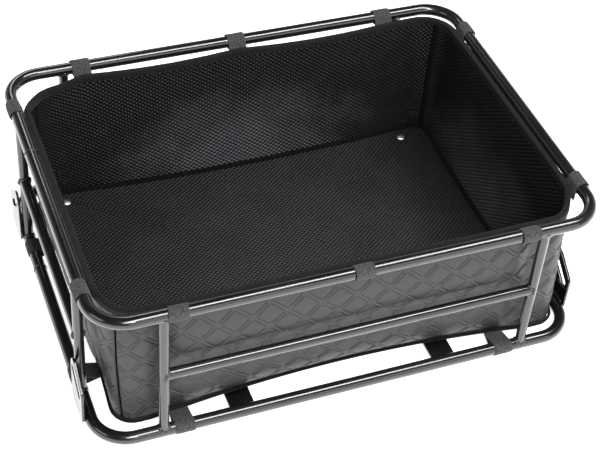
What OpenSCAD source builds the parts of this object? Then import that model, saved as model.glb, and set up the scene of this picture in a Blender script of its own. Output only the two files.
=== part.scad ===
// Tube-frame cargo basket with a removable padded liner, strapped to its rails.
// Origin: centre of the footprint, on the surface that the basket stands on. +Z is up.

/* [Rails] */
// Length of the two rails between tube centres
rail_l = 499; // [400:1:600]
// Depth of the two rails between tube centres
rail_d = 364.4; // [300:0.2:440]
// Height from the bottom rail's centre to the top rail's centre
rail_h = 158; // [130:1:200]
// Bend radius of the rail corners, at the tube's centre
corner_r = 35; // [28:1:42]
// Outside diameter of both rails
rail_tube = 12.7; // [10:0.1:16]

/* [Posts and mid rails] */
// Outside diameter of the posts
post_tube = 10; // [8:0.5:12]
// Outside diameter of the mid rails
mid_tube = 11; // [8:0.5:13]
// From a rail's end to the nearest post on a long side
post_inset_x = 61.5; // [50:0.5:80]
// From a rail's end to the nearest post on a short side
post_inset_y = 70.2; // [56:0.2:84]
// Height of the mid rails above the bottom rail's centre
mid_z = 79; // [60:1:95]

/* [Floor bars] */
// Distance of each flat bar from the middle of the basket
bar_x = 107; // [80:1:125]
// Width of the flat bars
bar_w = 25; // [18:1:32]
// Thickness of the flat bars
bar_t = 3; // [2:0.5:4]
// How far the bars' middle lies below the bottom rail's centre
bar_drop = 3; // [1:0.5:4]

/* [Hanger plates] */
// Thickness of the plates
plate_t = 2.5; // [2:0.1:4]
// Width of the plates along the rail
plate_w = 39; // [34:1:44]
// Height of the plates' apex above the bottom rail's centre, before rounding
plate_h = 60; // [54:1:66]
// How far the plates reach below the bottom rail's centre
plate_foot = 5; // [3:0.5:6]
// Height of the plates' outer edge above the bottom rail's centre
plate_shoulder = 37; // [32:1:42]
// Width of the slanted slot
slot_w = 8; // [6:0.5:9]
// Metal between the slot and the plate's slanted edge
slot_edge = 10; // [6:0.5:12]

/* [Liner] */
// Free space between the top rail and the liner at the two ends
gap_l = 3.15; // [2.5:0.05:8]
// Free space between the top rail and the liner at the front and back
gap_d = 5.85; // [2.5:0.05:10]
// How far the end walls lean in from the rim to the floor
lean_l = 6.5; // [0:0.5:14]
// How far the front and back walls lean in from the rim to the floor
lean_d = 3; // [0:0.5:10]
// How far the rim lies below the top rail's centre
rim_drop = 1; // [0:0.5:4]
// Corner radius of the liner
liner_r = 34; // [24:1:38]
// Thickness of the outer leatherette
shell_t = 1.2; // [1:0.1:2.5]
// Thickness of the inner spacer mesh
lining_t = 2.5; // [2:0.5:5]
// Thickness of the stiffening board in the floor
board_t = 1.2; // [1:0.1:4]
// Height of the binding that closes the rim
binding_h = 8; // [6:0.5:12]
// How far the binding stands proud of the walls on each side
binding_proud = 0.8; // [0.4:0.1:1.5]
// Diameter of the piping round the foot of the walls
piping_d = 3; // [2:0.5:4]
// Diameter of the four holes through the floor
drain_d = 9; // [5:0.5:10]
// From the liner's end wall to the middle of a floor hole
drain_inset_x = 34.5; // [20:0.5:45]
// From the liner's front or back wall to the middle of a floor hole
drain_inset_y = 18; // [13:1:40]

/* [Straps] */
// Width of the hook-and-loop straps
strap_w = 20; // [15:1:25]
// Thickness of a strap
strap_t = 1.6; // [1:0.1:2.5]
// Free space between a strap and its rail
strap_gap = 0.3; // [0.2:0.1:1.5]
// From a post to the strap beside it on the top rail
top_strap_step = 18; // [16:1:30]
// From a post to the strap beside it on the bottom rail
low_strap_step = 20; // [16:1:30]
// How far the top straps' tails drop towards the liner
strap_tilt = 25; // [0:1:35]

/* [Hidden] */
$fn = 48;
fit = 0.2;

paint = [0.05, 0.05, 0.055];
leatherette = [0.27, 0.26, 0.27];
mesh_black = [0.09, 0.09, 0.095];
webbing = [0.30, 0.29, 0.30];

half_l = rail_l / 2;
half_d = rail_d / 2;
rail_r = rail_tube / 2;
strap_in = rail_r + strap_gap;
strap_out = strap_in + strap_t;

low_z = strap_out;
top_z = low_z + rail_h;
bar_top = low_z - bar_drop + bar_t / 2;

post_x = half_l - post_inset_x;
post_y = half_d - post_inset_y;

plate_face = half_l + rail_r;
plate_in = post_y - 1;
plate_out = plate_in + plate_w;
plate_round = 6;
apex_y = plate_in + 9;
edge_y = plate_out - apex_y;
edge_z = plate_shoulder - plate_h;
edge_l = norm([edge_y, edge_z]);
slot_start = 9.5;
slot_end = edge_l - 2;

liner_z = bar_top;
board_z = liner_z + shell_t;
lining_z = board_z + board_t;
inside_z = lining_z + lining_t;
rim_z = top_z - rim_drop;
wall_top = rim_z - binding_h;
wall_t = shell_t + fit + lining_t;
rim_x = half_l - rail_r - gap_l;
rim_y = half_d - rail_r - gap_d;
foot_x = rim_x - lean_l;
foot_y = rim_y - lean_d;
piping_off = (piping_d + fit) / 2;

top_strap_x = post_x - top_strap_step;
top_strap_y = post_y + top_strap_step;
low_strap_x = post_x - low_strap_step;
low_strap_y = post_y - low_strap_step;
top_tail_long = half_d - rim_y - binding_proud - fit;
top_tail_short = half_l - rim_x - binding_proud - fit;
low_tail_long = half_d - foot_y - piping_d - fit;
low_tail_short = half_l - foot_x - piping_d - fit;

// A rectangle with round corners, given by its half sizes.
module rounded(x, y, r) {
    square([2 * x, 2 * (y - r)], center = true);
    square([2 * (x - r), 2 * y], center = true);
    for (sx = [-1, 1], sy = [-1, 1]) translate([sx * (x - r), sy * (y - r)]) circle(r);
}

// A round bar bent into a closed rounded rectangle, given by its centreline.
module bent_ring(x, y, r, d) {
    for (s = [-1, 1]) {
        translate([-(x - r), s * y, 0]) rotate([0, 90, 0]) cylinder(d = d, h = 2 * (x - r));
        translate([s * x, y - r, 0]) rotate([90, 0, 0]) cylinder(d = d, h = 2 * (y - r));
    }
    for (i = [0:3])
        translate([(i == 0 || i == 3 ? 1 : -1) * (x - r), (i < 2 ? 1 : -1) * (y - r), 0])
            rotate([0, 0, 90 * i]) rotate_extrude(angle = 90) translate([r, 0]) circle(d = d);
}

module along_x(y, z, d, l) {
    translate([-l / 2, y, z]) rotate([0, 90, 0]) cylinder(d = d, h = l);
}

module along_y(x, z, d, l) {
    translate([x, l / 2, z]) rotate([90, 0, 0]) cylinder(d = d, h = l);
}

module rail(z) {
    color(paint) translate([0, 0, z]) bent_ring(half_l, half_d, corner_r, rail_tube);
}

// Posts are coped to the two rails that they are welded between.
module post_long(sx, sy) {
    color(paint) difference() {
        translate([sx * post_x, sy * half_d, low_z]) cylinder(d = post_tube, h = rail_h);
        for (z = [low_z, top_z]) along_x(sy * half_d, z, rail_tube, rail_l);
    }
}

module post_short(sx, sy) {
    color(paint) difference() {
        translate([sx * half_l, sy * post_y, low_z]) cylinder(d = post_tube, h = rail_h);
        for (z = [low_z, top_z]) along_y(sx * half_l, z, rail_tube, rail_d);
    }
}

// Mid rails are coped to the posts at both of their ends.
module mid_rail_long(sy) {
    color(paint) difference() {
        along_x(sy * half_d, low_z + mid_z, mid_tube, 2 * post_x);
        for (s = [-1, 1]) translate([s * post_x, sy * half_d, low_z]) cylinder(d = post_tube, h = rail_h);
    }
}

module mid_rail_short(sx) {
    color(paint) difference() {
        along_y(sx * half_l, low_z + mid_z, mid_tube, 2 * post_y);
        for (s = [-1, 1]) translate([sx * half_l, s * post_y, low_z]) cylinder(d = post_tube, h = rail_h);
    }
}

module floor_bar(sx) {
    color(paint) difference() {
        translate([sx * bar_x, 0, bar_top - bar_t / 2]) cube([bar_w, rail_d, bar_t], center = true);
        for (s = [-1, 1]) along_x(s * half_d, low_z, rail_tube, rail_l);
    }
}

// Outline of a hanger plate: y runs along the rail, z up from the rail's centre.
module plate_outline() {
    offset(r = plate_round) offset(delta = -plate_round)
        polygon([
            [plate_in, -plate_foot], [plate_in, plate_h - 13], [apex_y, plate_h],
            [plate_out, plate_shoulder], [plate_out, -plate_foot]
        ]);
}

// The slot runs parallel to the plate's slanted upper edge.
module plate_slot() {
    translate([apex_y, plate_h]) rotate(atan2(edge_z, edge_y)) translate([0, -slot_edge - slot_w / 2]) {
        for (x = [slot_start, slot_end]) translate([x, 0]) circle(d = slot_w);
        translate([slot_start, -slot_w / 2]) square([slot_end - slot_start, slot_w]);
    }
}

module hanger_plate(sx, sy) {
    color(paint) translate([sx > 0 ? plate_face : -plate_face - plate_t, 0, low_z])
        scale([1, sy, 1]) rotate([90, 0, 90]) difference() {
            linear_extrude(plate_t) plate_outline();
            translate([0, 0, -1]) linear_extrude(plate_t + 2) plate_slot();
        }
}

// A block that leans like the liner's walls, inset from their outer face.
module leaning_block(inset) {
    spread = [(rim_x - inset) / (foot_x - inset), (rim_y - inset) / (foot_y - inset)];
    translate([0, 0, liner_z]) linear_extrude(rim_z - liner_z, scale = spread, slices = 1)
        rounded(foot_x - inset, foot_y - inset, liner_r - inset);
}

// The sector of the liner that one wall fills, cut at 45 degrees through the corners.
module wall_sector(long, z0) {
    near = (long ? foot_x : foot_y) - liner_r;
    deep = (long ? foot_y : foot_x) - liner_r;
    reach = 2 * liner_r;
    translate([0, 0, z0]) linear_extrude(wall_top - z0) rotate(long ? 0 : -90)
        polygon([
            [-near, 0], [near, 0], [near, -deep],
            [near + reach, -deep - reach], [-near - reach, -deep - reach], [-near, -deep]
        ]);
}

module wall(long, side, inset, t, z0) {
    mirror(long ? [0, side > 0 ? 1 : 0, 0] : [side > 0 ? 1 : 0, 0, 0]) intersection() {
        difference() {
            leaning_block(inset);
            leaning_block(inset + t);
        }
        wall_sector(long, z0);
    }
}

module shell_wall(long, side) {
    color(leatherette) wall(long, side, 0, shell_t, board_z);
}

module lining_wall(long, side) {
    color(mesh_black) wall(long, side, shell_t + fit, lining_t, inside_z);
}

module floor_sheet(z, t, inset) {
    difference() {
        translate([0, 0, z]) linear_extrude(t) rounded(foot_x - inset, foot_y - inset, liner_r - inset);
        for (sx = [-1, 1], sy = [-1, 1])
            translate([sx * (foot_x - drain_inset_x), sy * (foot_y - drain_inset_y), z - 1])
                cylinder(d = drain_d, h = t + 2);
    }
}

module shell_floor() { color(leatherette) floor_sheet(liner_z, shell_t, 0); }
module floor_board() { color("dimgray") floor_sheet(board_z, board_t, shell_t + fit); }
module lining_floor() { color(mesh_black) floor_sheet(lining_z, lining_t, shell_t + fit); }

module rim_binding() {
    out = binding_proud;
    in = wall_t + binding_proud;
    color(webbing) translate([0, 0, wall_top]) linear_extrude(binding_h) difference() {
        rounded(rim_x + out, rim_y + out, liner_r + out);
        rounded(rim_x - in, rim_y - in, liner_r - in);
    }
}

module foot_piping() {
    color(webbing) translate([0, 0, liner_z + piping_d / 2])
        bent_ring(foot_x + piping_off, foot_y + piping_off, liner_r + piping_off, piping_d);
}

// A strap wraps the tube, and its two ends lie together in a tail that is sewn to the
// liner. The tail leaves towards -X of the profile, dropped by tilt.
module strap_band(reach, tilt) {
    tail = (reach - strap_t * sin(tilt)) / cos(tilt);
    rotate(tilt) linear_extrude(strap_w, center = true) difference() {
        union() {
            circle(strap_out);
            translate([-tail, -strap_t]) square([tail, 2 * strap_t]);
        }
        circle(strap_in);
    }
}

module strap_long(x, sy, z, reach, tilt) {
    color(webbing) translate([x, sy * half_d, z]) rotate([0, 0, sy > 0 ? 90 : -90])
        rotate([90, 0, 0]) strap_band(reach, tilt);
}

module strap_short(sx, y, z, reach, tilt) {
    color(webbing) translate([sx * half_l, y, z]) rotate([0, 0, sx > 0 ? 0 : 180])
        rotate([90, 0, 0]) strap_band(reach, tilt);
}

module top_strap_long(x, sy) { strap_long(x, sy, top_z, top_tail_long, strap_tilt); }
module top_strap_short(sx, y) { strap_short(sx, y, top_z, top_tail_short, strap_tilt); }
module low_strap_long(x, sy) { strap_long(x, sy, low_z, low_tail_long, 0); }
module low_strap_short(sx, y) { strap_short(sx, y, low_z, low_tail_short, 0); }

rail(top_z);  // top_rail
rail(low_z);  // bottom_rail
post_long(-1, -1);  // post_front_left
post_long(1, -1);  // post_front_right
post_long(-1, 1);  // post_back_left
post_long(1, 1);  // post_back_right
post_short(-1, -1);  // post_left_front
post_short(-1, 1);  // post_left_back
post_short(1, -1);  // post_right_front
post_short(1, 1);  // post_right_back
mid_rail_long(-1);  // mid_rail_front
mid_rail_long(1);  // mid_rail_back
mid_rail_short(-1);  // mid_rail_left
mid_rail_short(1);  // mid_rail_right
floor_bar(-1);  // floor_bar_left
floor_bar(1);  // floor_bar_right
hanger_plate(-1, -1);  // hanger_plate_front_left
hanger_plate(1, -1);  // hanger_plate_front_right
hanger_plate(-1, 1);  // hanger_plate_back_left
hanger_plate(1, 1);  // hanger_plate_back_right
shell_wall(true, -1);  // shell_front
shell_wall(true, 1);  // shell_back
shell_wall(false, -1);  // shell_left
shell_wall(false, 1);  // shell_right
shell_floor();
lining_wall(true, -1);  // lining_front
lining_wall(true, 1);  // lining_back
lining_wall(false, -1);  // lining_left
lining_wall(false, 1);  // lining_right
lining_floor();
floor_board();
rim_binding();
foot_piping();
top_strap_long(-top_strap_x, -1);  // top_strap_front_left
top_strap_long(0, -1);  // top_strap_front_middle
top_strap_long(top_strap_x, -1);  // top_strap_front_right
top_strap_long(-top_strap_x, 1);  // top_strap_back_left
top_strap_long(0, 1);  // top_strap_back_middle
top_strap_long(top_strap_x, 1);  // top_strap_back_right
top_strap_short(-1, -top_strap_y);  // top_strap_left_front
top_strap_short(-1, top_strap_y);  // top_strap_left_back
top_strap_short(1, -top_strap_y);  // top_strap_right_front
top_strap_short(1, top_strap_y);  // top_strap_right_back
low_strap_long(-low_strap_x, -1);  // low_strap_front_left
low_strap_long(low_strap_x, -1);  // low_strap_front_right
low_strap_long(-low_strap_x, 1);  // low_strap_back_left
low_strap_long(low_strap_x, 1);  // low_strap_back_right
low_strap_short(-1, -low_strap_y);  // low_strap_left_front
low_strap_short(-1, low_strap_y);  // low_strap_left_back
low_strap_short(1, -low_strap_y);  // low_strap_right_front
low_strap_short(1, low_strap_y);  // low_strap_right_back
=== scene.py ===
import math

import bmesh
import bpy
from mathutils import Matrix, Vector, noise


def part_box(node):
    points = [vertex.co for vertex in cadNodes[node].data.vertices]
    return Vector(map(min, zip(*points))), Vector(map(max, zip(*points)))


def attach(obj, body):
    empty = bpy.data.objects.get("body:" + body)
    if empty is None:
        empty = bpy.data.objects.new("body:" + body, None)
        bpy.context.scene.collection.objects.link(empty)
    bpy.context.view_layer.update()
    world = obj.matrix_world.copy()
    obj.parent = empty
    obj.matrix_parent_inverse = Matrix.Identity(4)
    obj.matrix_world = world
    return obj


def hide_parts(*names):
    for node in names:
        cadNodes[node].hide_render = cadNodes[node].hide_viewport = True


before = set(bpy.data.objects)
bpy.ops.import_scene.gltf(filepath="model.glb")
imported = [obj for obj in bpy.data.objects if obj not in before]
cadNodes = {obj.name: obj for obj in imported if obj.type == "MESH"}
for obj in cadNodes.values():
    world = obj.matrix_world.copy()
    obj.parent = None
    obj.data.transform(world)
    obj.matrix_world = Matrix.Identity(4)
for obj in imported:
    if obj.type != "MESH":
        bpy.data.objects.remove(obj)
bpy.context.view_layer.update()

# Strapped liner basket: a gloss black tube frame with a fabric liner hung inside it.
# Everything is in metres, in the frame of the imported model.

mm = 0.001
body = "root"


# measures read from the frame
def halfSize(node):
    low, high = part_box(node)
    return (high.x - low.x) / 2, (high.y - low.y) / 2


footHalf = halfSize("shell_floor")
rimHalf = halfSize("rim_binding")
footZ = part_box("shell_floor")[0].z
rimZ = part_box("rim_binding")[1].z
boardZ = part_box("floor_board")[0].z
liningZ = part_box("lining_floor")[0].z
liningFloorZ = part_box("lining_floor")[1].z
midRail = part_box("mid_rail_front")
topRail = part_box("top_rail")
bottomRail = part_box("bottom_rail")
railRadius = (topRail[1].z - topRail[0].z) / 2
topRailZ = (topRail[1].z + topRail[0].z) / 2
bottomRailZ = (bottomRail[1].z + bottomRail[0].z) / 2
railHalf = (topRail[1].x - railRadius, topRail[1].y - railRadius)
postRadius = halfSize("post_front_right")[0]
midRadius = (midRail[1].z - midRail[0].z) / 2
midZ = (midRail[1].z + midRail[0].z) / 2
postAlong = (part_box("post_front_right")[0].x + postRadius,
             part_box("post_right_back")[0].y + postRadius)

liner = {
    "corner": (20 * mm, 34 * mm),  # radius of the outline's corners at the foot and at the rim
    "rimInset": 0.8 * mm,        # how far the shell's rim lies inside the binding's outer face
    "bow": (13 * mm, 5 * mm),    # how far the foot is drawn in at mid side, long sides and short sides
    "bowReach": 0.86,            # share of a side that the bow takes up
    "bowFade": 2.4,              # how soon the bow is lost on the way up
    "lift": 2.5 * mm,            # how far the foot of the long sides rises at mid side
    "settle": (6 * mm, 4 * mm),  # how far the foot sits off centre
    "billow": (9 * mm, 5 * mm),  # bulge through the upper and the lower opening of the frame
    "fold": 16,                  # how sharply the upper bulge leaves the mid rail
    # the lists go round the sides: front, right, back, left
    "rimDip": [3.5 * mm, 0.6 * mm, 3 * mm, 3.5 * mm],  # sag of the rim between two straps
    "rimPull": [2.5 * mm, 0.0, 2.5 * mm, 1 * mm],      # how far it falls inwards there
    "rimPush": [0.0, 2.4 * mm, 0.0, 0.0],              # how far a load has pushed the side's rim outwards
    # and these go round the corners, from the front right one
    "cornerDip": [6 * mm, 0.5 * mm, 6 * mm, 7 * mm],
    "cornerPull": [6 * mm, -2.5 * mm, 7 * mm, 8 * mm],
    "dipFade": 3,                # how soon the sag is lost on the way down
    "pullFade": 2.2,
    "pushSpread": 1.6,
    "shell": boardZ - footZ,
    "board": liningZ - boardZ,
    "lining": liningFloorZ - liningZ,
    "gap": 0.3 * mm,
    "wander": 0.9 * mm,          # slow unevenness of the cloth
    "waves": (22, 26),           # how close its waves lie, level and upright
    "ripples": (70, 50),         # and its smaller ripples
    "rippleShare": 0.35,
}
puckers = {                      # creases of the lining where the walls' seams meet the floor's
    "deep": 3.5 * mm,
    "begin": (0.80, 0.94),       # shares of a panel's half width
    "end": (0.95, 1.0),
    "fade": (0.10, 0.34),        # shares of the wall's height
    "close": (95, 60),
}
strapPlaces = {
    "long": [-170 * mm, 0.0, 170 * mm],
    "short": [-130 * mm, 130 * mm],
    "width": 20 * mm,
    "thick": 1.3 * mm,
}
sideNames = ["front", "right", "back", "left"]


def mix(a, b, f):
    return a + (b - a) * f


def ramp(x, low, high):
    f = min(1.0, max(0.0, (x - low) / (high - low)))
    return f * f * (3 - 2 * f)


def isLong(side):
    return side % 2 == 0


def turned(side, along, out):
    # a point given as along a side and out from the middle, in the frame's x and y
    return [(along, -out), (out, along), (-along, out), (-out, -along)][side]


def sideOutline(side, t, halfX, halfY, r):
    # along, out and the outward direction at t, which runs from -1 to 1 between two corner seams
    a, d = (halfX, halfY) if isLong(side) else (halfY, halfX)
    straight = a - r
    s = t * (straight + r * math.pi / 4)
    if abs(s) <= straight:
        return s, d, 0.0, 1.0
    angle = (abs(s) - straight) / r
    sign = 1 if s > 0 else -1
    return (sign * (straight + r * math.sin(angle)), d - r + r * math.cos(angle),
            sign * math.sin(angle), math.cos(angle))


def panelHalf(side):
    # half the width that a wall panel was cut to, at mid height
    a = (footHalf[0] + rimHalf[0]) / 2 if isLong(side) else (footHalf[1] + rimHalf[1]) / 2
    return a - sum(liner["corner"]) / 2 * (1 - math.pi / 4)


def rimSag(side, t):
    # share of the dip between straps (0 to 1), then the dip and the pull that it is a share of
    places = strapPlaces["long"] if isLong(side) else strapPlaces["short"]
    along = t * panelHalf(side)
    end = places[-1]
    if abs(along) > end:
        f = 0.5 * (abs(along) - end) / (panelHalf(side) - end)
        corner = side if along > 0 else (side + 3) % 4
        return 4 * f * (1 - f), liner["cornerDip"][corner], liner["cornerPull"][corner]
    for left, right in zip(places, places[1:]):
        if along <= right:
            f = (along - left) / (right - left)
            return 4 * f * (1 - f), liner["rimDip"][side], liner["rimPull"][side]
    return 0.0, 0.0, 0.0


def openingBulge(side, along, z):
    width = postAlong[0 if isLong(side) else 1] - postRadius
    reach = min(1.0, abs(along) / width)
    across = 1 - reach ** 10
    upperLow, upperHigh = midRail[1].z, rimZ
    lowerLow, lowerHigh = bottomRail[1].z, midRail[0].z
    if z > upperLow:
        f = (z - upperLow) / (upperHigh - upperLow)
        return liner["billow"][0] * across * (1 - math.exp(-f * liner["fold"])) * (1 - f * f)
    if lowerLow < z < lowerHigh:
        f = 2 * (z - lowerLow) / (lowerHigh - lowerLow) - 1
        return liner["billow"][1] * across * (1 - f ** 4)
    return 0.0


def wallPoint(side, t, v, depth):
    # v runs from 0 at the foot to 1 at the rim, and depth is how far inside the shell's outer face
    v = min(1.0, max(0.0, v))
    halfX = mix(footHalf[0], rimHalf[0] - liner["rimInset"], v)
    halfY = mix(footHalf[1], rimHalf[1] - liner["rimInset"], v)
    along, out, nAlong, nOut = sideOutline(side, t, halfX, halfY, mix(*liner["corner"], v))
    flat = min(1.0, abs(along) / (halfX if isLong(side) else halfY))
    bowShare = max(0.0, 1 - (flat / liner["bowReach"]) ** 2)
    low = (1 - v) ** liner["bowFade"]
    share, dip, pull = rimSag(side, t)
    z = mix(footZ + (liner["lift"] * bowShare if isLong(side) else 0.0), rimZ, v)
    z -= share * dip * v ** liner["dipFade"]
    push = -depth - liner["bow"][0 if isLong(side) else 1] * bowShare * low
    push -= share * pull * v ** liner["pullFade"]
    push += liner["rimPush"][side] * min(1.0, liner["pushSpread"] * bowShare) * v ** liner["pullFade"]
    if depth < liner["shell"] + liner["gap"]:
        push += openingBulge(side, along, z)
    else:
        creased = ramp(abs(t), *puckers["begin"]) * (1 - ramp(abs(t), *puckers["end"]))
        creased *= 1 - ramp(v, *puckers["fade"])
        spot = Vector((along * puckers["close"][0], z * puckers["close"][1], side * 7))
        push -= creased * puckers["deep"] * abs(noise.noise(spot))
    x, y = turned(side, along + nAlong * push, out + nOut * push)
    level, upright = liner["waves"]
    slow = noise.noise(Vector((x * level, y * level, z * upright + 7))) * liner["wander"]
    level, upright = liner["ripples"]
    ripple = noise.noise(Vector((x * level + 3, y * level, z * upright)))
    slow += ripple * liner["wander"] * liner["rippleShare"]
    nx, ny = turned(side, nAlong, nOut)
    free = math.sin(math.pi * v) ** 0.5
    x, y = x + nx * slow * free, y + ny * slow * free
    return Vector((x + liner["settle"][0] * low, y + liner["settle"][1] * low, z))


def roundPoint(w, v, depth):
    # the same, with w from 0 to 4 once round the liner
    side = int(w) % 4
    return wallPoint(side, 2 * (w - int(w)) - 1, v, depth)


wallHeight = rimZ - footZ


def heightShare(z):
    return (z - footZ) / wallHeight


# making meshes
def gridOf(columns, rows):
    # a flat unit grid, 0 to 1 each way, to be shaped by moving its vertices
    bm = bmesh.new()
    bmesh.ops.create_grid(bm, x_segments=columns, y_segments=rows, size=0.5)
    bmesh.ops.translate(bm, verts=bm.verts, vec=(0.5, 0.5, 0))
    return bm


def keepFlatPlace(bm, sizeX=1.0, sizeY=1.0):
    # the flat place of each corner becomes its UV, in metres
    layer = bm.loops.layers.uv.verify()
    for face in bm.faces:
        for loop in face.loops:
            loop[layer].uv = (loop.vert.co.x * sizeX, loop.vert.co.y * sizeY)


def shape(bm, place):
    for vert in bm.verts:
        vert.co = place(vert.co.x, vert.co.y)


def shapeSkins(bm, place, thickness):
    # the same for a flat sheet that is given its thickness first: only the face that shows takes the relief
    thicken(bm, thickness)
    for vert in bm.verts:
        hidden = abs(vert.co.z) > abs(thickness) / 2
        vert.co = place(vert.co.x, vert.co.y, thickness if hidden else None)


def thicken(bm, thickness):
    # thickness grows to the back of the faces as they lie, or to their front where it is negative
    bmesh.ops.solidify(bm, geom=bm.faces[:], thickness=thickness)
    bmesh.ops.recalc_face_normals(bm, faces=bm.faces)


def closeUp(bm, distance=1e-6):
    bmesh.ops.remove_doubles(bm, verts=bm.verts, dist=distance)
    bmesh.ops.recalc_face_normals(bm, faces=bm.faces)


def pieceFrom(bm, name, material, nodes=(), smooth=True):
    mesh = bpy.data.meshes.new(name)
    bm.to_mesh(mesh)
    bm.free()
    for polygon in mesh.polygons:
        polygon.use_smooth = smooth
    mesh.materials.append(material)
    piece = bpy.data.objects.new(name, mesh)
    bpy.context.scene.collection.objects.link(piece)
    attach(piece, body)
    if nodes:
        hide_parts(*nodes)
    return piece


# materials
def newMaterial(name):
    material = bpy.data.materials.new(name)
    material.use_nodes = True
    tree = material.node_tree
    return material, tree, tree.nodes["Principled BSDF"]


def addNode(tree, kind, **values):
    node = tree.nodes.new(kind)
    for key, value in values.items():
        setattr(node, key, value)
    return node


def calc(tree, operation, first, second=None):
    node = addNode(tree, "ShaderNodeMath", operation=operation)
    for socket, value in zip(node.inputs, (first, second)):
        if value is None:
            continue
        if isinstance(value, (int, float)):
            socket.default_value = value
        else:
            tree.links.new(value, socket)
    return node.outputs[0]


def noiseValue(tree, vector, scale, detail=3.0, roughness=0.5):
    node = addNode(tree, "ShaderNodeTexNoise")
    node.inputs["Scale"].default_value = scale
    node.inputs["Detail"].default_value = detail
    node.inputs["Roughness"].default_value = roughness
    tree.links.new(vector, node.inputs["Vector"])
    return node.outputs["Fac"]


def rampBetween(tree, value, low, high, colourLow, colourHigh):
    node = addNode(tree, "ShaderNodeValToRGB")
    node.color_ramp.elements[0].position = low
    node.color_ramp.elements[1].position = high
    node.color_ramp.elements[0].color = (*colourLow, 1)
    node.color_ramp.elements[1].color = (*colourHigh, 1)
    tree.links.new(value, node.inputs[0])
    return node.outputs[0]


def bumpFrom(tree, shader, height, distance, strength=1.0, under=None):
    node = addNode(tree, "ShaderNodeBump")
    node.inputs["Strength"].default_value = strength
    node.inputs["Distance"].default_value = distance
    tree.links.new(height, node.inputs["Height"])
    if under:
        tree.links.new(under, node.inputs["Normal"])
    tree.links.new(node.outputs[0], shader.inputs["Normal"])
    return node.outputs[0]


def mapRange(tree, value, low, high, toLow, toHigh):
    node = addNode(tree, "ShaderNodeMapRange")
    for index, number in zip((1, 2, 3, 4), (low, high, toLow, toHigh)):
        node.inputs[index].default_value = number
    tree.links.new(value, node.inputs[0])
    return node.outputs[0]


paintLook = {
    "colour": (0.004, 0.004, 0.0042), "dust": (0.010, 0.010, 0.010), "rough": (0.17, 0.29),
    "orangePeel": 220, "peelDepth": 0.00008, "coat": 0.8, "coatRough": 0.09, "coatIndex": 1.6,
}


def glossPaint():
    material, tree, shader = newMaterial("gloss_black_paint")
    place = addNode(tree, "ShaderNodeTexCoord").outputs["Object"]
    cloud = noiseValue(tree, place, 14, 4)
    tree.links.new(rampBetween(tree, cloud, 0.35, 0.75, paintLook["colour"], paintLook["dust"]),
                   shader.inputs["Base Color"])
    tree.links.new(mapRange(tree, cloud, 0.3, 0.7, *paintLook["rough"]), shader.inputs["Roughness"])
    shader.inputs["Coat Weight"].default_value = paintLook["coat"]
    shader.inputs["Coat Roughness"].default_value = paintLook["coatRough"]
    shader.inputs["Coat IOR"].default_value = paintLook["coatIndex"]
    peel = noiseValue(tree, place, paintLook["orangePeel"], 2)
    bumpFrom(tree, shader, peel, paintLook["peelDepth"], 0.3)
    return material


leatherLook = {
    "dark": (0.023, 0.023, 0.023), "light": (0.036, 0.036, 0.035), "rough": (0.36, 0.50),
    "grain": 900, "grainDepth": 0.00016, "wrinkle": 160, "wrinkleDepth": 0.0005,
    "groove": 0.06, "ridge": 2.1,  # painted shade in the pressed lines, and painted highlight on their crests
}


def leatherette():
    material, tree, shader = newMaterial("embossed_leatherette")
    place = addNode(tree, "ShaderNodeUVMap").outputs["UV"]
    cloud = noiseValue(tree, place, 30, 5, 0.6)
    cell = addNode(tree, "ShaderNodeTexVoronoi")
    cell.inputs["Scale"].default_value = leatherLook["grain"]
    tree.links.new(place, cell.inputs["Vector"])
    # the crease attribute carries painted light: painted shade in the grooves and seam tucks, painted
    # highlight on the crests
    creaseShading = addNode(tree, "ShaderNodeAttribute", attribute_name="creaseShading").outputs["Fac"]
    grooveShade = mapRange(tree, creaseShading, -1, 0, leatherLook["groove"], 1)
    crestHighlight = mapRange(tree, creaseShading, 0, 1, 1, leatherLook["ridge"])
    tone = addNode(tree, "ShaderNodeVectorMath", operation="SCALE")
    plain = rampBetween(tree, cloud, 0.3, 0.7, leatherLook["dark"], leatherLook["light"])
    tree.links.new(plain, tone.inputs[0])
    tree.links.new(calc(tree, "MULTIPLY", grooveShade, crestHighlight), tone.inputs["Scale"])
    tree.links.new(tone.outputs[0], shader.inputs["Base Color"])
    tree.links.new(mapRange(tree, cloud, 0.3, 0.7, *leatherLook["rough"]), shader.inputs["Roughness"])
    grain = bumpFrom(tree, shader, cell.outputs["Distance"], leatherLook["grainDepth"], 0.5)
    wrinkles = noiseValue(tree, place, leatherLook["wrinkle"], 4, 0.6)
    bumpFrom(tree, shader, wrinkles, leatherLook["wrinkleDepth"], 0.35, grain)
    return material


meshLook = {
    # the open cells' tone: the mesh's own pattern, darkened further with painted shade in the hollows
    "pitch": (6.3 * mm, 5.0 * mm), "hole": (0.002, 0.002, 0.0022), "shine": 0.4,
    "cellDepth": 0.0012, "threads": 1500, "threadDepth": 0.00015,
    # painted sheen: a patch is painted lighter, a painted highlight in the lower middle of the walls and in
    # the middle of the floor, with painted shade towards the edges: the height of its middle, its reach and
    # how much lighter it is
    "wall": {"yarn": (0.018, 0.018, 0.020), "rough": 0.38,
             "middle": 0.02, "reach": (0.18, 0.10), "paintedSheen": 6.5},
    "floor": {"yarn": (0.017, 0.017, 0.018), "rough": 0.5,
              "middle": 0.0, "reach": (0.24, 0.19), "paintedSheen": 2.6},
}


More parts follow.
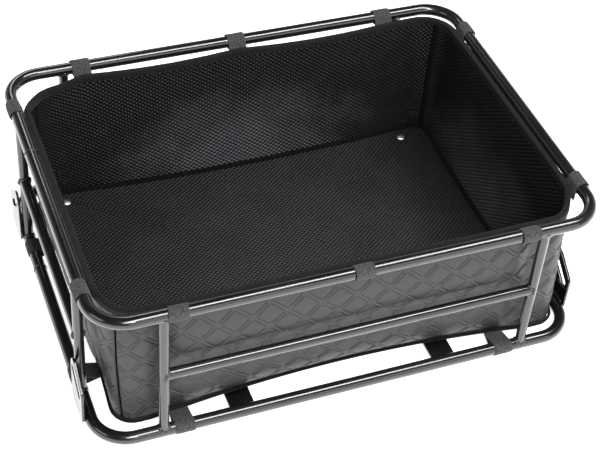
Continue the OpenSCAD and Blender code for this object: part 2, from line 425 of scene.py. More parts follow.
def spacerMesh(name, look):
    material, tree, shader = newMaterial(name)
    place = addNode(tree, "ShaderNodeUVMap").outputs["UV"]
    split = addNode(tree, "ShaderNodeSeparateXYZ")
    tree.links.new(place, split.inputs[0])
    turns = [2 * math.pi / pitch for pitch in meshLook["pitch"]]
    across = calc(tree, "COSINE", calc(tree, "MULTIPLY", split.outputs[0], turns[0]))
    upright = calc(tree, "COSINE", calc(tree, "MULTIPLY", split.outputs[1], turns[1]))
    lump = mapRange(tree, calc(tree, "MULTIPLY", across, upright), -1, 1, 0, 1)
    cellsAndShade = calc(tree, "POWER", lump, 1.6)
    cloud = noiseValue(tree, place, 55, 3)
    # painted sheen: the tone is raised towards the patch's middle and falls back to the plain yarn towards
    # its edges, a painted highlight with painted shade towards the edges
    aside = calc(tree, "DIVIDE", split.outputs[0], look["reach"][0])
    height = calc(tree, "SUBTRACT", split.outputs[1], look["middle"])
    above = calc(tree, "DIVIDE", height, look["reach"][1])
    squares = [calc(tree, "MULTIPLY", value, value) for value in (aside, above)]
    away = calc(tree, "SQRT", calc(tree, "ADD", *squares))
    sheenPatch = calc(tree, "ADD", away, mapRange(tree, noiseValue(tree, place, 18, 3), 0.3, 0.7, -0.2, 0.2))
    fade = addNode(tree, "ShaderNodeMapRange", interpolation_type="SMOOTHSTEP")
    for index, number in zip((1, 2, 3, 4), (0.1, 1.0, look["paintedSheen"], 1.0)):
        fade.inputs[index].default_value = number
    tree.links.new(sheenPatch, fade.inputs[0])
    tone = addNode(tree, "ShaderNodeVectorMath", operation="SCALE")
    # yarn tone on the lumps and a darker tone in the open cells, partly the mesh's pattern and partly
    # painted shade in the hollows
    tree.links.new(rampBetween(tree, cellsAndShade, 0.05, 0.75, meshLook["hole"], look["yarn"]), tone.inputs[0])
    tree.links.new(fade.outputs[0], tone.inputs["Scale"])
    tree.links.new(tone.outputs[0], shader.inputs["Base Color"])
    rough = calc(tree, "ADD", mapRange(tree, cloud, 0.3, 0.7, 0.0, 0.12), look["rough"])
    tree.links.new(rough, shader.inputs["Roughness"])
    shader.inputs["Specular IOR Level"].default_value = meshLook["shine"]
    threads = noiseValue(tree, place, meshLook["threads"], 2)
    under = bumpFrom(tree, shader, lump, meshLook["cellDepth"], 0.8)
    bumpFrom(tree, shader, threads, meshLook["threadDepth"], 0.5, under)
    return material


tapeLooks = {
    "binding_tape": {"dark": (0.004, 0.004, 0.004), "light": (0.010, 0.010, 0.010), "pitch": 0.9 * mm,
                     "speckle": 420, "shine": 0.2},
    # a darker copy of the binding tape: painted shade for the seams that lie in the liner's inside corners
    "seam_tape_shaded": {"dark": (0.0015, 0.0015, 0.0015), "light": (0.005, 0.005, 0.005), "pitch": 0.9 * mm,
                  "speckle": 420, "shine": 0.08},
    "strap_webbing": {"dark": (0.004, 0.004, 0.0045), "light": (0.105, 0.101, 0.105), "pitch": 1.3 * mm,
                      "speckle": 480, "shine": 0.35},
    "sewing_thread": {"dark": (0.02, 0.02, 0.02), "light": (0.06, 0.06, 0.06), "pitch": 0.5 * mm,
                      "speckle": 900, "shine": 0.2},
}


def wovenTape(name):
    look = tapeLooks[name]
    material, tree, shader = newMaterial(name)
    place = addNode(tree, "ShaderNodeUVMap").outputs["UV"]
    split = addNode(tree, "ShaderNodeSeparateXYZ")
    tree.links.new(place, split.inputs[0])
    turn = 2 * math.pi / look["pitch"]
    warp = calc(tree, "SINE", calc(tree, "MULTIPLY", split.outputs[0], turn))
    weft = calc(tree, "SINE", calc(tree, "MULTIPLY", split.outputs[1], turn))
    weave = mapRange(tree, calc(tree, "MULTIPLY", warp, weft), -1, 1, 0, 1)
    flecks = noiseValue(tree, place, look["speckle"], 3, 0.7)
    both = calc(tree, "ADD", calc(tree, "MULTIPLY", weave, 0.35), calc(tree, "MULTIPLY", flecks, 0.8))
    colour = rampBetween(tree, both, 0.42, 0.74, look["dark"], look["light"])
    tree.links.new(colour, shader.inputs["Base Color"])
    shader.inputs["Roughness"].default_value = 0.85
    shader.inputs["Specular IOR Level"].default_value = look["shine"]
    shader.inputs["Sheen Weight"].default_value = look["shine"] * 0.25
    shader.inputs["Sheen Roughness"].default_value = 0.6
    bumpFrom(tree, shader, weave, 0.0003, 0.8)
    return material


def plainFibre():
    material, tree, shader = newMaterial("stiffener_board")
    place = addNode(tree, "ShaderNodeUVMap").outputs["UV"]
    fibres = noiseValue(tree, place, 400, 5, 0.7)
    tree.links.new(rampBetween(tree, fibres, 0.3, 0.7, (0.16, 0.15, 0.14), (0.34, 0.32, 0.30)),
                   shader.inputs["Base Color"])
    shader.inputs["Roughness"].default_value = 0.8
    bumpFrom(tree, shader, fibres, 0.0002, 0.6)
    return material


def weldMetal():
    material, tree, shader = newMaterial("painted_weld")
    place = addNode(tree, "ShaderNodeTexCoord").outputs["Object"]
    lumps = noiseValue(tree, place, 500, 3, 0.6)
    tree.links.new(rampBetween(tree, lumps, 0.35, 0.75, (0.008, 0.008, 0.008), (0.03, 0.03, 0.03)),
                   shader.inputs["Base Color"])
    tree.links.new(mapRange(tree, lumps, 0.3, 0.7, 0.18, 0.34), shader.inputs["Roughness"])
    shader.inputs["Coat Weight"].default_value = 0.5
    shader.inputs["Coat Roughness"].default_value = 0.1
    bumpFrom(tree, shader, lumps, 0.0006, 0.7)
    return material


paint = glossPaint()
leather = leatherette()
wallMesh = spacerMesh("spacer_mesh", meshLook["wall"])
floorMesh = spacerMesh("spacer_mesh_floor", meshLook["floor"])
tape = wovenTape("binding_tape")
shadedSeamTape = wovenTape("seam_tape_shaded")
webbing = wovenTape("strap_webbing")
thread = wovenTape("sewing_thread")
board = plainFibre()
weldPaint = weldMetal()
print("materials made")

# camera, light and floor
cameraLook = {
    "place": (-0.43927, -1.02311, 1.10476),
    "azimuth": -23.91, "elevation": 43.21, "roll": 5.04, "lens": 88.0,
}


def makeCamera():
    az, el, roll = (math.radians(cameraLook[key]) for key in ("azimuth", "elevation", "roll"))
    back = Vector((math.sin(az) * math.cos(el), -math.cos(az) * math.cos(el), math.sin(el)))
    right = Vector((math.cos(az), math.sin(az), 0))
    up = back.cross(right)
    across = right * math.cos(roll) + up * math.sin(roll)
    upright = up * math.cos(roll) - right * math.sin(roll)
    data = bpy.data.cameras.new("camera")
    data.lens = cameraLook["lens"]
    data.sensor_width = 36
    camera = bpy.data.objects.new("camera", data)
    turn = Matrix((across, upright, back)).transposed().to_4x4()
    camera.matrix_world = Matrix.Translation(cameraLook["place"]) @ turn
    bpy.context.scene.collection.objects.link(camera)
    bpy.context.scene.camera = camera


def softLight(name, place, target, size, power):
    data = bpy.data.lights.new(name, "AREA")
    data.shape = "RECTANGLE"
    data.size, data.size_y = size
    data.energy = power
    light = bpy.data.objects.new(name, data)
    light.location = place
    light.rotation_euler = (Vector(target) - Vector(place)).to_track_quat("-Z", "Y").to_euler()
    bpy.context.scene.collection.objects.link(light)


studioLook = {
    "walls": 0.66, "leftShade": 0.55, "ceiling": (0.10, 0.10, 0.10),
    "floor": ((0.90, 0.90, 0.90), (0.94, 0.94, 0.94)), "floorGlow": 0.92,
    "lights": {
        "over_front": {"place": (0.60, -0.75, 2.15), "size": (2.2, 0.5), "power": 52},
        "front_fill": {"place": (0.65, -2.2, 0.9), "size": (2.2, 1.0), "power": 10},
        "left_front_panel": {"place": (-0.25, -1.5, 1.7), "size": (0.7, 0.3), "power": 16},
        "back_panel": {"place": (0.1, 1.9, 1.5), "size": (0.5, 0.6), "power": 4},
        "left_panel": {"place": (-1.9, -0.4, 1.1), "size": (1.0, 0.8), "power": 5},
    },
}


def makeStudio():
    scene = bpy.context.scene
    scene.view_settings.view_transform = "Standard"
    world = bpy.data.worlds.new("studio")
    scene.world = world
    world.use_nodes = True
    tree = world.node_tree
    background = tree.nodes["Background"]
    place = addNode(tree, "ShaderNodeTexCoord").outputs["Generated"]
    split = addNode(tree, "ShaderNodeSeparateXYZ")
    tree.links.new(place, split.inputs[0])
    sky = rampBetween(tree, split.outputs[2], 0.12, 0.55, (1, 1, 1), studioLook["ceiling"])
    tree.links.new(sky, background.inputs["Color"])
    shade = mapRange(tree, split.outputs[0], -0.8, 0.2, studioLook["leftShade"], 1.0)
    tree.links.new(calc(tree, "MULTIPLY", shade, studioLook["walls"]), background.inputs["Strength"])
    for name, look in studioLook["lights"].items():
        softLight(name, look["place"], (0, 0, 0.1), look["size"], look["power"])
    bm = bmesh.new()
    bmesh.ops.create_grid(bm, x_segments=2, y_segments=2, size=6)
    mesh = bpy.data.meshes.new("floor")
    bm.to_mesh(mesh)
    bm.free()
    material, tree, shader = newMaterial("pale_floor")
    place = addNode(tree, "ShaderNodeTexCoord").outputs["Object"]
    pale = rampBetween(tree, noiseValue(tree, place, 3, 2), 0.3, 0.7, *studioLook["floor"])
    tree.links.new(pale, shader.inputs["Base Color"])
    shader.inputs["Roughness"].default_value = 0.9
    shader.inputs["Emission Color"].default_value = (1, 1, 1, 1)
    shader.inputs["Emission Strength"].default_value = studioLook["floorGlow"]
    mesh.materials.append(material)
    floor = bpy.data.objects.new("floor", mesh)
    scene.collection.objects.link(floor)


makeCamera()
makeStudio()
print("camera, lights and floor made")

# frame: paint on every tube, bar and plate
flatSteel = ("floor_bar", "hanger_plate")
tubes = ("top_rail", "bottom_rail", "post_", "mid_rail")
frameNodes = [name for name in cadNodes if name.startswith(tubes + flatSteel)]
flatEdges = {"roundOver": 0.45 * mm, "sharper": 40}
for name in frameNodes:
    cadNodes[name].data.materials.clear()
    cadNodes[name].data.materials.append(paint)


def roundOver(bm, sharper, size):
    # rounds the edges that turn by more than so many degrees
    limit = math.radians(sharper)
    edges = [edge for edge in bm.edges if len(edge.link_faces) == 2 and edge.calc_face_angle() > limit]
    bmesh.ops.bevel(bm, geom=edges, offset=size, segments=2, profile=0.5, affect="EDGES", material=-1)


def softEdged(name):
    # a copy of a flat steel piece, with its cut edges rounded over
    bm = bmesh.new()
    bm.from_mesh(cadNodes[name].data)
    bmesh.ops.remove_doubles(bm, verts=bm.verts, dist=1e-6)
    bmesh.ops.dissolve_limit(bm, angle_limit=math.radians(1), verts=bm.verts, edges=bm.edges)
    roundOver(bm, flatEdges["sharper"], flatEdges["roundOver"])
    bmesh.ops.recalc_face_normals(bm, faces=bm.faces)
    pieceFrom(bm, name + "_rounded", paint, [name], smooth=False)


for name in frameNodes:
    if name.startswith(flatSteel):
        softEdged(name)

weld = {"bead": 1.5 * mm, "lump": 0.5 * mm, "turns": 28, "sides": 8}
plateSeam = {"radius": 1.5 * mm, "sink": 0.9 * mm, "above": 3.4 * mm, "inset": 4 * mm}
barSeam = {"radius": 1.3 * mm, "sink": -0.4 * mm, "inset": 1 * mm}
buttSeam = {"at": 60 * mm, "sink": 1.15 * mm}


def weldRing(bm, centre, axis, tube, saddle=0.0, saddleAxis=None):
    # a bead round a tube's end, following the round of the tube that it is welded to
    side = axis.orthogonal().normalized()
    start = bmesh.ops.create_circle(bm, segments=weld["sides"], radius=weld["bead"])["verts"]
    turn = Matrix((side, axis, side.cross(axis))).transposed().to_4x4()
    seat = Matrix.Translation(centre + side * (tube + weld["bead"] * 0.25))
    bmesh.ops.transform(bm, matrix=seat @ turn, verts=start)
    edges = list({edge for vert in start for edge in vert.link_edges})
    before = set(bm.verts) - set(start)
    bmesh.ops.spin(bm, geom=edges, cent=centre, axis=axis, angle=2 * math.pi, steps=weld["turns"],
                   use_merge=True)
    for vert in [v for v in bm.verts if v not in before]:
        away = vert.co - centre
        away -= axis * away.dot(axis)
        if saddle:
            offset = min(abs(away.dot(saddleAxis)), saddle * 0.98)
            vert.co -= axis * (saddle - math.sqrt(saddle ** 2 - offset ** 2))
        vert.co += away.normalized() * noise.noise(vert.co * 420) * weld["lump"]


def frameWelds():
    bm = bmesh.new()
    up, alongX, alongY = Vector((0, 0, 1)), Vector((1, 0, 0)), Vector((0, 1, 0))
    ends = [(bottomRailZ + railRadius, up), (topRailZ - railRadius, -up)]
    for x in (-1, 1):
        for y in (-1, 1):
            for z, axis in ends:
                onLong = Vector((x * postAlong[0], y * railHalf[1], z))
                onShort = Vector((x * railHalf[0], y * postAlong[1], z))
                weldRing(bm, onLong, axis, postRadius, railRadius, alongY)
                weldRing(bm, onShort, axis, postRadius, railRadius, alongX)
            weldRing(bm, Vector((x * (postAlong[0] - postRadius), y * railHalf[1], midZ)), alongX * -x,
                     midRadius, postRadius, alongY)
            weldRing(bm, Vector((x * railHalf[0], y * (postAlong[1] - postRadius), midZ)), alongY * -y,
                     midRadius, postRadius, alongX)
    closeUp(bm, 1e-7)
    pieceFrom(bm, "weld_beads", weldPaint)


def seamWeld(bm, start, end, radius):
    # a straight bead between two points, with round ends
    rod = bmesh.ops.create_uvsphere(bm, u_segments=8, v_segments=24, radius=1.0)["verts"]
    middle, half = (start + end) / 2, (end - start).length / 2
    turn = (end - start).to_track_quat("Z", "X")
    for vert in rod:
        out = Vector((vert.co.x, vert.co.y, 0))
        out = out.normalized() * radius * (1 - abs(vert.co.z) ** 8) ** 0.5 if out.length > 1e-6 else out
        place = middle + turn @ Vector((out.x, out.y, vert.co.z * half))
        vert.co = place + Vector((0, 0, 1)) * noise.noise(place * 300) * weld["lump"]


def plateAndBarWelds():
    bm = bmesh.new()
    for name in [n for n in frameNodes if n.startswith("hanger_plate")]:
        low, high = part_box(name)
        sign = 1 if low.x > 0 else -1
        x = sign * (min(abs(low.x), abs(high.x)) - plateSeam["sink"])
        z = bottomRailZ + plateSeam["above"]
        start = Vector((x, low.y + plateSeam["inset"], z))
        end = Vector((x, high.y - plateSeam["inset"], z))
        seamWeld(bm, start, end, plateSeam["radius"])
    for name in [n for n in frameNodes if n.startswith("floor_bar")]:
        low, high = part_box(name)
        for y in (-1, 1):
            place = y * (railHalf[1] - railRadius - barSeam["sink"])
            start = Vector((low.x + barSeam["inset"], place, high.z))
            end = Vector((high.x - barSeam["inset"], place, high.z))
            seamWeld(bm, start, end, barSeam["radius"])
    bmesh.ops.recalc_face_normals(bm, faces=bm.faces)
    pieceFrom(bm, "weld_seams", weldPaint)


def buttSeams():
    # where each rail's own ends meet, a low ring that was ground back and painted over
    bm = bmesh.new()
    for z in (bottomRailZ, topRailZ):
        centre = Vector((-railHalf[0], buttSeam["at"], z))
        weldRing(bm, centre, Vector((0, 1, 0)), railRadius - buttSeam["sink"])
    closeUp(bm, 1e-7)
    pieceFrom(bm, "rail_butt_seams", weldPaint)


frameWelds()
plateAndBarWelds()
buttSeams()
print("frame painted and welded")

# liner: embossed outer shell
lattice = {
    "width": 33.8 * mm, "height": 33.0 * mm,  # the diamonds' diagonals
    "ridge": 0.55 * mm, "ridgeHalf": 0.62 * mm,
    "groove": 0.75 * mm, "grooveAt": 1.65 * mm, "grooveHalf": 0.68 * mm,
    "pillow": 0.35 * mm,
    "nodeGap": (2.4 * mm, 4.0 * mm),  # the creases die out this near a crossing
    "lowest": 23.5 * mm,              # height of the first row of crossings above the foot
    # where mesh lines run, in shares of a diamond
    "lines": [0.0, 0.035, 0.077, 0.12, 0.17, 0.26, 0.38, 0.5],
}
latticeLine = 1 / math.hypot(1 / lattice["width"], 1 / lattice["height"])


def creaseShares(p, q):
    # how much of the ridge and of the groove beside it there is
    across = abs(p - round(p)) * latticeLine
    along = abs(q - round(q)) * latticeLine
    strength = ramp(along, *lattice["nodeGap"])
    ridge = math.exp(-(across / lattice["ridgeHalf"]) ** 2)
    groove = math.exp(-((across - lattice["grooveAt"]) / lattice["grooveHalf"]) ** 2)
    return ridge * strength, groove * strength


def emboss(u, v):
    # the relief's height, and its painted light from -1, painted shade in a groove, to 1, a painted
    # highlight on a crest
    p = u / lattice["width"] + (v - lattice["lowest"]) / lattice["height"]
    q = u / lattice["width"] - (v - lattice["lowest"]) / lattice["height"]
    pillow = abs(math.sin(math.pi * p) * math.sin(math.pi * q)) ** 0.5
    ridgeA, grooveA = creaseShares(p, q)
    ridgeB, grooveB = creaseShares(q, p)
    ridge, groove = max(ridgeA, ridgeB), max(grooveA, grooveB)
    return lattice["ridge"] * ridge - lattice["groove"] * groove + lattice["pillow"] * pillow, ridge - groove


def lineShares(count):
    # the spread of mesh lines over so many diamonds
    ups = lattice["lines"]
    one = ups + [1 - share for share in reversed(ups[1:-1])]
    return [n + share for n in range(count) for share in one] + [count]


def latticeSheet(halfWidth, height):
    # a flat panel whose mesh lines follow the creases, cut to its outline
    reach = math.ceil((2 * halfWidth / lattice["width"] + height / lattice["height"]) / 2) + 2
    shares = lineShares(2 * reach)
    bm = gridOf(len(shares) - 1, len(shares) - 1)
    for vert in bm.verts:
        p = shares[round(vert.co.x * (len(shares) - 1))] - reach
        q = shares[round(vert.co.y * (len(shares) - 1))] - reach
        up = lattice["height"] * (q - p) / 2 + lattice["lowest"]
        vert.co = Vector((lattice["width"] * (p + q) / 2, up, 0))
    cuts = [((halfWidth, 0, 0), (1, 0, 0)), ((-halfWidth, 0, 0), (-1, 0, 0)),
            ((0, height, 0), (0, 1, 0)), ((0, 0, 0), (0, -1, 0))]
    for place, away in cuts:
        bmesh.ops.bisect_plane(bm, geom=bm.verts[:] + bm.edges[:] + bm.faces[:], plane_co=place,
                               plane_no=away, clear_outer=True, dist=1e-6)
    return bm


shellLook = {
    "below": 2 * mm,               # how far the panels end below the rim
    "gap": 0.8 * mm,               # at the corner seams
    "dark": 1.8 * mm,              # width of the painted shade in the tuck beside a seam
    "curl": 2.4 * mm,              # how deep an edge curls into the seam
    "reach": 3.2 * mm,             # how far from the seam the curl begins
    "foot": 3.2 * mm,              # the same at the foot
    "calm": 4 * mm,                # the relief is lost this near a seam
    "footCalm": (2 * mm, 7 * mm),  # and here above the foot
    "skin": 0.8,                   # share of the layer that is solid
}


def shellPanel(side):
    halfWidth = panelHalf(side)
    height = wallHeight - shellLook["below"]
    bm = latticeSheet(halfWidth - shellLook["gap"], height)
    keepFlatPlace(bm)
    # the crease layer holds painted light: the relief's painted shade and highlight, turning to painted
    # shade in the tuck beside a seam
    creaseShading = bm.verts.layers.float.new("creaseShading")
    for vert in bm.verts:
        tuck = (shellLook["gap"], shellLook["gap"] + shellLook["dark"])
        tuckShade = 1 - ramp(halfWidth - abs(vert.co.x), *tuck)
        vert[creaseShading] = mix(emboss(vert.co.x, vert.co.y)[1], -1.0, tuckShade)

    def place(u, v, hidden):
        edge = max(0.0, 1 - (halfWidth - abs(u)) / shellLook["reach"])
        foot = max(0.0, 1 - v / shellLook["foot"])
        depth = shellLook["curl"] * edge ** 2 + shellLook["foot"] * 0.8 * foot ** 2
        calm = min(1.0, (halfWidth - abs(u)) / shellLook["calm"]) * ramp(v, *shellLook["footCalm"])
        depth += hidden or -emboss(u, v)[0] * calm
        return wallPoint(side, u / halfWidth, v / wallHeight, depth)

    shapeSkins(bm, place, liner["shell"] * shellLook["skin"])
    name = sideNames[side]
    piece = pieceFrom(bm, "shell_panel_" + name, leather, ["shell_" + name])
    print("shell panel", name, len(piece.data.polygons), "faces")


for side in range(4):
    shellPanel(side)

# liner: spacer mesh lining of the walls
weaveRelief = {"height": 0.55 * mm, "step": (6.3 / 4 * mm, 5.0 / 4 * mm)}
liningLook = {
    "inset": 4.5 * mm,   # how much narrower than the shell's panel
    "foot": 1.5 * mm,    # how far it reaches below the floor's face
    "below": 3 * mm,     # how far it ends below the rim
    "hem": 5 * mm,       # how far from the corner seam it begins to turn
    "turn": 1.2 * mm,
    "skin": 0.7,         # share of the layer that is solid
}


def weaveHeight(u, v):
    pitchU, pitchV = meshLook["pitch"]
    lump = math.cos(2 * math.pi * u / pitchU) * math.cos(2 * math.pi * v / pitchV)
    return weaveRelief["height"] * (lump * 0.5 + 0.5)


liningDepth = liner["shell"] + liner["gap"] + liner["lining"]


def liningPanel(side):
    halfWidth = panelHalf(side) - liningLook["inset"]
    low = liningFloorZ - footZ - liningLook["foot"]
    height = rimZ - liningLook["below"] - footZ - low
    columns = round(2 * halfWidth / weaveRelief["step"][0])
    rows = round(height / weaveRelief["step"][1])
    bm = gridOf(columns, rows)
    bmesh.ops.translate(bm, verts=bm.verts, vec=(-0.5, 0, 0))
    bmesh.ops.scale(bm, verts=bm.verts, vec=(2 * halfWidth, height, 1))
    keepFlatPlace(bm)

    def place(u, v, hidden):
        edge = max(0.0, 1 - (halfWidth - abs(u)) / liningLook["hem"])
        depth = liningDepth - liningLook["turn"] * edge ** 2 + (hidden or weaveHeight(u, v))
        return wallPoint(side, u / (halfWidth + liningLook["turn"]), (v + low) / wallHeight, depth)

    shapeSkins(bm, place, -liner["lining"] * liningLook["skin"])
    name = sideNames[side]
    piece = pieceFrom(bm, "lining_panel_" + name, wallMesh, ["lining_" + name])
    print("lining panel", name, len(piece.data.polygons), "faces")


for side in range(4):
    liningPanel(side)

# liner: floor in three layers
drain = {"radius": 4.5 * mm, "inset": (34.5 * mm, 18 * mm), "sides": 40, "deep": 40 * mm}
floorSheets = {
    "shell_sheet_floor": {"low": 0.0, "thick": liner["shell"], "inset": 0.4 * mm,
                          "step": (6 * mm, 6 * mm), "relief": 0.0},
    "stiffener_sheet": {"low": liner["shell"], "thick": liner["board"], "inset": 3 * mm,
                        "step": (8 * mm, 8 * mm), "relief": 0.0},
    "lining_sheet_floor": {"low": liner["shell"] + liner["board"], "thick": liner["lining"],
                           "inset": 2.2 * mm, "step": (6.3 / 3 * mm, 5.0 / 3 * mm), "relief": 0.3 * mm},
}
floorShape = {
    "plain": 0.45,      # share of the way out where the plain middle begins to follow the outline
    "sag": 0.5 * mm,
    "waves": 9,
    "skin": 0.94,       # share of each layer that is solid
}


def floorPoint(x, y, low, inset):
    # a point of a rectangle 2 by 2, drawn to the outline of the liner's foot
    ring = max(abs(x), abs(y))
    if ring < 1e-9:
        w, ring = 0.5, 0.0
    elif abs(y) >= abs(x):
        w = 0.5 + x / ring / 2 if y < 0 else 2.5 - x / ring / 2
    else:
        w = 1.5 + y / ring / 2 if x > 0 else 3.5 - y / ring / 2
    edge = roundPoint(min(w, 3.999999), 0.0, inset)
    middle = Vector((liner["settle"][0], liner["settle"][1], footZ))
    plain = middle + Vector((x * (footHalf[0] - inset), y * (footHalf[1] - inset - liner["bow"][0]), 0))
    point = plain.lerp(middle.lerp(edge, ring), ramp(ring, floorShape["plain"], 1.0))
    spot = Vector((point.x * floorShape["waves"], point.y * floorShape["waves"], 3))
    sag = noise.noise(spot) * floorShape["sag"]
    return Vector((point.x, point.y, mix(footZ, edge.z, ring ** 4) + low + max(0.0, sag)))


def floorSheet(name, material, nodes):
    look = floorSheets[name]
    halfX, halfY = footHalf[0] - look["inset"], footHalf[1] - look["inset"]
    bm = gridOf(round(2 * halfX / look["step"][0]), round(2 * halfY / look["step"][1]))
    bmesh.ops.translate(bm, verts=bm.verts, vec=(-0.5, -0.5, 0))
    bmesh.ops.scale(bm, verts=bm.verts, vec=(2 * halfX, 2 * halfY, 1))
    keepFlatPlace(bm)

    def place(x, y):
        point = floorPoint(x / halfX, y / halfY, look["low"] + look["thick"], look["inset"])
        if look["relief"]:
            point.z -= weaveHeight(x, y) * look["relief"] / weaveRelief["height"]
        return point

    shape(bm, place)
    thicken(bm, look["thick"] * floorShape["skin"])
    return pieceFrom(bm, name, material, nodes)


def punchDrains(piece):
    # the four drain holes go straight through
    bm = bmesh.new()
    for x in (-1, 1):
        for y in (-1, 1):
            hole = bmesh.ops.create_cone(bm, segments=drain["sides"], radius1=drain["radius"],
                                         radius2=drain["radius"], depth=drain["deep"], cap_ends=True)
            centre = (x * (footHalf[0] - drain["inset"][0]), y * (footHalf[1] - drain["inset"][1]), footZ)
            bmesh.ops.translate(bm, verts=hole["verts"], vec=centre)
    mesh = bpy.data.meshes.new("punch")
    bm.to_mesh(mesh)
    bm.free()
    punch = bpy.data.objects.new("punch", mesh)
    bpy.context.scene.collection.objects.link(punch)
    cut = piece.modifiers.new("drains", "BOOLEAN")
    cut.operation, cut.object, cut.solver = "DIFFERENCE", punch, "EXACT"
    bpy.context.view_layer.update()
    done = bpy.data.meshes.new_from_object(piece.evaluated_get(bpy.context.evaluated_depsgraph_get()))
    piece.modifiers.clear()
    old, piece.data = piece.data, done
    bpy.data.meshes.remove(old)
    bpy.data.objects.remove(punch)
    bpy.data.meshes.remove(mesh)


shellFloor = floorSheet("shell_sheet_floor", leather, ["shell_floor"])
stiffener = floorSheet("stiffener_sheet", board, ["floor_board"])
liningFloor = floorSheet("lining_sheet_floor", floorMesh, ["lining_floor"])
for piece in (shellFloor, stiffener, liningFloor):
    punchDrains(piece)
print("floor sheets made")

# liner: binding, piping, seam tapes and stitches
binding = {"height": 8 * mm, "width": 6.6 * mm, "columns": 480, "around": 20, "square": 0.45,
           "pucker": 0.25 * mm}
bindingDepth = liningDepth / 2 - 0.2 * mm  # of its middle, inside the shell's outer face
piping = {"radius": 1.5 * mm, "out": 1.4 * mm, "z": 1.5 * mm}
welt = {"wide": 5.2 * mm, "thick": 1.5 * mm, "columns": 420, "around": 16, "square": 0.5, "wobble": 0.8 * mm,
        "above": 2.2 * mm, "inside": 2.4 * mm}  # its place above the floor and off the wall
diagonal = 0.7071


def squaredCircle(share, halfWide, halfTall, power):
    angle = 2 * math.pi * share
    c, s = math.cos(angle), math.sin(angle)
    return halfWide * math.copysign(abs(c) ** power, c), halfTall * math.copysign(abs(s) ** power, s)


def ringPiece(name, columns, around, place, material, nodes=(), length=1.6, wide=0.03):
    bm = gridOf(columns, around)
    keepFlatPlace(bm, length, wide)
    shape(bm, place)
    closeUp(bm)
    return pieceFrom(bm, name, material, nodes)


def bindingPlace(a, b):
    across, up = squaredCircle(b, binding["width"] / 2, binding["height"] / 2, binding["square"])
    pucker = noise.noise(Vector((a * 260, b * 2, 0))) * binding["pucker"]
    rim = roundPoint((a % 1.0) * 4, 1.0, bindingDepth + across + pucker)
    return rim + Vector((0, 0, up - binding["height"] / 2))


def pipingPlace(a, b):
    angle = 2 * math.pi * b
    foot = roundPoint((a % 1.0) * 4, 0.0, -piping["out"] + piping["radius"] * math.cos(angle))
    return foot + Vector((0, 0, piping["z"] + piping["radius"] * math.sin(angle)))


def floorWeltPlace(a, b):
    thick, wide = squaredCircle(b, welt["thick"] / 2, welt["wide"] / 2, welt["square"])
    across, up = (thick + wide) * diagonal, (thick - wide) * diagonal
    share = heightShare(liningFloorZ + welt["above"])
    wobble = noise.noise(Vector((a * 60, 1, 0))) * welt["wobble"]
    foot = roundPoint((a % 1.0) * 4, share, liningDepth + welt["inside"] + across + wobble)
    return foot + Vector((0, 0, up + wobble * 0.6))


ringPiece("rim_binding_tape", binding["columns"], binding["around"], bindingPlace, tape,
          ["rim_binding"])
ringPiece("foot_piping_cord", welt["columns"], welt["around"], pipingPlace, tape,
          ["foot_piping"], 1.6, 0.01)
ringPiece("floor_seam_tape", welt["columns"], welt["around"], floorWeltPlace, shadedSeamTape,
          (), 1.5, 0.014)


def cornerTape(corner):
    # the taped seam that runs up an inside corner
    bm = gridOf(welt["around"], 60)
    keepFlatPlace(bm, 0.014, 0.15)
    low, high = heightShare(liningFloorZ), heightShare(rimZ - 4 * mm)

    def place(a, b):
        angle = 2 * math.pi * a
        share = mix(low, high, b)
        seat = roundPoint(corner + 0.9999, share, liningDepth + 0.4 * mm)
        inward = Vector((math.copysign(diagonal, liner["settle"][0] - seat.x),
                         math.copysign(diagonal, liner["settle"][1] - seat.y), 0))
        aside = inward.cross(Vector((0, 0, 1)))
        wave = noise.noise(Vector((b * 5, corner, 0))) * welt["wobble"]
        forward = welt["thick"] * 0.75 * math.sin(angle)
        sideways = welt["wide"] * 0.55 * math.cos(angle) + wave
        return seat + inward * forward + aside * sideways

    shape(bm, place)
    closeUp(bm)
    bmesh.ops.holes_fill(bm, edges=[edge for edge in bm.edges if edge.is_boundary])
    bmesh.ops.recalc_face_normals(bm, faces=bm.faces)
    pieceFrom(bm, "corner_seam_tape_" + str(corner + 1), shadedSeamTape)


for corner in range(4):
    cornerTape(corner)

stitch = {"pitch": 4.2 * mm, "long": 3.0 * mm, "thick": 0.35 * mm, "below": 6.3 * mm, "proud": 0.05 * mm}


def addStitch(bm, place, along):
    dash = bmesh.ops.create_icosphere(bm, subdivisions=1, radius=1.0)["verts"]
    turn = along.to_track_quat("X", "Z").to_matrix().to_4x4()
    size = Matrix.Diagonal((stitch["long"] / 2, stitch["thick"], stitch["thick"], 1))
    bmesh.ops.transform(bm, matrix=Matrix.Translation(place) @ turn @ size, verts=dash)


def rimStitches():
    # one row of stitches holds the binding, seen on both its faces
    bm = bmesh.new()
    total = sum(2 * panelHalf(side) for side in range(4))
    count = round(total / stitch["pitch"])
    for face in (-1, 1):
        depth = bindingDepth + face * (binding["width"] / 2 + stitch["proud"])
        for n in range(count):
            here = roundPoint(4 * n / count, 1.0, depth)
            there = roundPoint(4 * (n + 0.5) / count % 4, 1.0, depth)
            addStitch(bm, here - Vector((0, 0, stitch["below"])), (there - here).normalized())
    keepFlatPlace(bm)
    pieceFrom(bm, "rim_stitches", thread)


rimStitches()
print("binding, seams and stitches made")

# straps
wrap = {
    "length": 70, "across": 8,       # mesh steps along a strap and across it
    "slack": 1.3 * mm, "clear": 0.25 * mm,
    "angles": (62, 298), "steps": 24,  # where the strap meets and leaves the rail
    "cup": 0.35 * mm, "ripple": 0.45 * mm, "roundOver": 0.35 * mm, "sharper": 60,
}
slipped = {  # how far a strap has slid along its rail, and its slant
    "top_strap_front_left": (-4 * mm, -5 * mm),
    "top_strap_left_front": (3 * mm, 1 * mm),
}


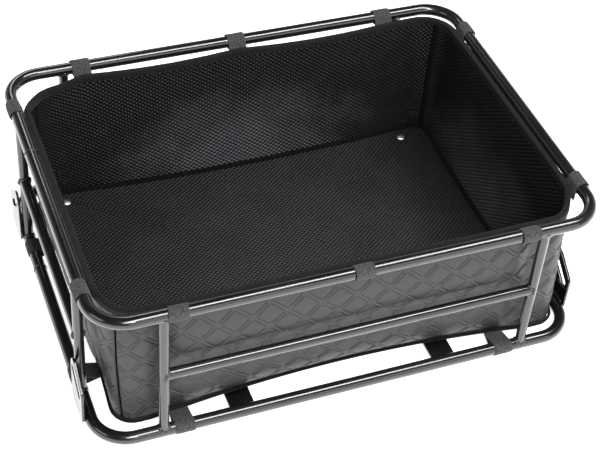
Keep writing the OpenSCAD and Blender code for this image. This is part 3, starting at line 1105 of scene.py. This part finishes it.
def strapPath(railOut, railZ, seatOut, seatZ, slack, drop):
    # the strap's middle line, as it leaves the seam, rounds the rail and comes back; x is out and y is up
    radius = railRadius + wrap["clear"] + strapPlaces["thick"] / 2
    reach = math.atan2(seatZ - railZ, seatOut - railOut)
    points = [Vector((seatOut, seatZ - drop)), Vector((seatOut + 0.2 * mm, seatZ))]
    start, end = [reach - math.radians(turn) for turn in wrap["angles"]]
    for step in range(wrap["steps"] + 1):
        angle = mix(start, end, step / wrap["steps"])
        loose = slack * max(0.0, math.sin((start - angle) / 2 * 1.53)) ** 2
        out, up = (radius + loose) * math.cos(angle), (radius + loose) * math.sin(angle)
        points.append(Vector((railOut + out, railZ + up)))
    points += [Vector((seatOut + strapPlaces["thick"] * 1.1, seatZ - 0.4 * mm)),
               Vector((seatOut + strapPlaces["thick"] * 1.1, seatZ - drop))]
    return points


def alongPath(points, share):
    lengths = [(b - a).length for a, b in zip(points, points[1:])]
    target = share * sum(lengths)
    for a, b, length in zip(points, points[1:], lengths):
        if target <= length:
            return a.lerp(b, target / length)
        target -= length
    return points[-1]


def strapPiece(node, side, along, path, slant):
    bm = gridOf(wrap["length"], wrap["across"])
    total = sum((b - a).length for a, b in zip(path, path[1:]))
    keepFlatPlace(bm, total, strapPlaces["width"])

    def place(a, b):
        point = alongPath(path, a)
        centre = alongPath(path, 0.5).lerp(alongPath(path, 0.0), 0.4)
        away = (point - centre).normalized()
        cup = (2 * b - 1) ** 4 * wrap["cup"]
        ripple = noise.noise(Vector((a * 7, b * 2.5, along * 50 + side * 9))) * wrap["ripple"]
        point = point + away * (ripple - cup)
        sideways = along + (b - 0.5) * strapPlaces["width"] + slant * (0.5 - abs(2 * a - 1))
        x, y = turned(side, sideways, point.x)
        return Vector((x, y, point.y))

    shape(bm, place)
    bmesh.ops.smooth_vert(bm, verts=bm.verts, factor=0.4, use_axis_x=True, use_axis_y=True, use_axis_z=True)
    thicken(bm, strapPlaces["thick"])
    roundOver(bm, wrap["sharper"], wrap["roundOver"])
    pieceFrom(bm, node + "_webbing", webbing, [node])


def sideOfNode(name):
    return next(number for number, word in enumerate(sideNames) if name.split("_")[2] == word)


def makeStraps():
    for node in sorted(name for name in cadNodes if "_strap_" in name):
        side = sideOfNode(node)
        low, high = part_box(node)
        middle = (low + high) / 2
        along = [middle.x, middle.y, -middle.x, -middle.y][side]
        railOut = railHalf[1] if isLong(side) else railHalf[0]
        top = node.startswith("top")
        v = 1.0 if top else 0.0
        seat = wallPoint(side, along / panelHalf(side), v, 0.0)
        seatOut = [-seat.y, seat.x, seat.y, -seat.x][side]
        if top:
            path = strapPath(railOut, topRailZ, seatOut + 0.9 * mm, rimZ - 3 * mm, wrap["slack"], 9 * mm)
        else:
            path = strapPath(railOut, bottomRailZ, seatOut + 1.0 * mm, footZ + 2.2 * mm, 0.0, 0.6 * mm)
        slide, slant = slipped.get(node, (0.0, 0.8 * mm if top else 0.0))
        strapPiece(node, side, along + slide, path, slant)


makeStraps()
print("straps made")

print("done")
